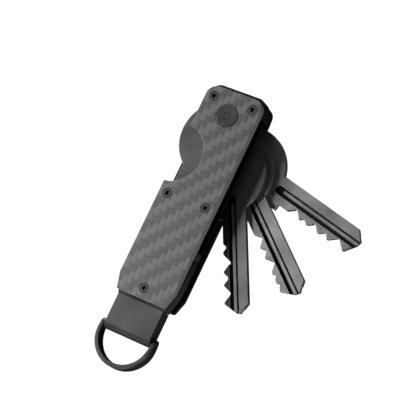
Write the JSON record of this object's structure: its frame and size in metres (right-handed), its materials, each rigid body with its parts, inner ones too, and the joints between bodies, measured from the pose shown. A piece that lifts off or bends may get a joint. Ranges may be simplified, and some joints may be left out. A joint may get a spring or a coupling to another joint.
{
  "type": "folding key organiser",
  "caption": "Slim folding key holder: keys swing out of a carbon-fibre-faced case about one pivot, and a pull-out tab at the far end carries a D-ring.",
  "frame": {"origin": "on the flat rear face of the case, on its centre line, 25 mm from the key pivot's axis", "axes": "+Z out of the front cover, +Y along the case towards the key pivot, +X towards the side that the keys swing out of"},
  "size_m": [0.0622, 0.0872, 0.0124],
  "materials": {
    "carbon_fibre": "satin twill carbon-fibre laminate",
    "black_steel": "black coated steel, satin",
    "dark_aluminium": "dark grey anodised, fine bead-blasted",
    "key_metal": "dark gunmetal plated key blank, satin",
    "washer_nylon": "matt black plastic washer",
    "screw_steel": "black oxide steel",
    "spring_steel": "plain spring steel wire"
  },
  "bodies": {
    "case": {"front_cover": "carbon_fibre", "front_liner": "black_steel", "divider_plate": "black_steel", "rear_liner": "black_steel", "rear_cover": "black_steel", "top_spacer_rear": "black_steel", "top_spacer_front": "black_steel", "back_wall": "black_steel", "latch_housing": "black_steel", "pivot_post": "dark_aluminium", "pivot_screw": "dark_aluminium", "washer_1": "washer_nylon", "washer_2": "washer_nylon", "washer_3": "washer_nylon", "washer_4": "washer_nylon", "washer_5": "washer_nylon", "washer_6": "washer_nylon", "front_screw_top_left": "screw_steel", "front_screw_top_right": "screw_steel", "front_screw_middle_left": "screw_steel", "front_screw_middle_right": "screw_steel", "front_screw_bottom": "screw_steel", "rear_screw_top_left": "screw_steel", "rear_screw_top_right": "screw_steel", "rear_screw_middle_left": "screw_steel", "rear_screw_middle_right": "screw_steel", "rear_screw_bottom": "screw_steel", "release_spring": "spring_steel"},
    "key_1": {"key_1": "key_metal"},
    "key_2": {"key_2": "key_metal"},
    "key_3": {"key_3": "key_metal"},
    "key_4": {"key_4": "key_metal"},
    "button": {"release_button": "dark_aluminium"},
    "tab": {"ring_tab": "dark_aluminium", "ring_pin": "black_steel"},
    "ring": {"d_ring": "dark_aluminium"}
  },
  "joints": [
    {"name": "key_1_swing", "type": "hinge", "parent": "case", "child": "key_1", "pos_m": [0, 0.025, 0.00227], "axis": [0, 0, 1], "range_deg": [-68.6, 5]},
    {"name": "key_2_swing", "type": "hinge", "parent": "case", "child": "key_2", "pos_m": [0, 0.025, 0.00389], "axis": [0, 0, 1], "range_deg": [-48.1, 22]},
    {"name": "key_3_swing", "type": "hinge", "parent": "case", "child": "key_3", "pos_m": [0, 0.025, 0.00551], "axis": [0, 0, 1], "range_deg": [-28.2, 32]},
    {"name": "key_4_swing", "type": "hinge", "parent": "case", "child": "key_4", "pos_m": [0, 0.025, 0.00835], "axis": [0, 0, 1], "range_deg": [0, 80]},
    {"name": "button_press", "type": "slide", "parent": "case", "child": "button", "axis": [-1, 0, 0], "range_m": [0, 0.0006], "stiffness_N_per_m": 400, "deforming": ["release_spring"]},
    {"name": "tab_slide", "type": "slide", "parent": "case", "child": "tab", "axis": [0, -1, 0], "range_m": [0, 0.0075]},
    {"name": "ring_swing", "type": "hinge", "parent": "tab", "child": "ring", "pos_m": [0, -0.0429, 0.0081], "axis": [1, 0, 0], "range_deg": [-110, 110]}
  ]
}
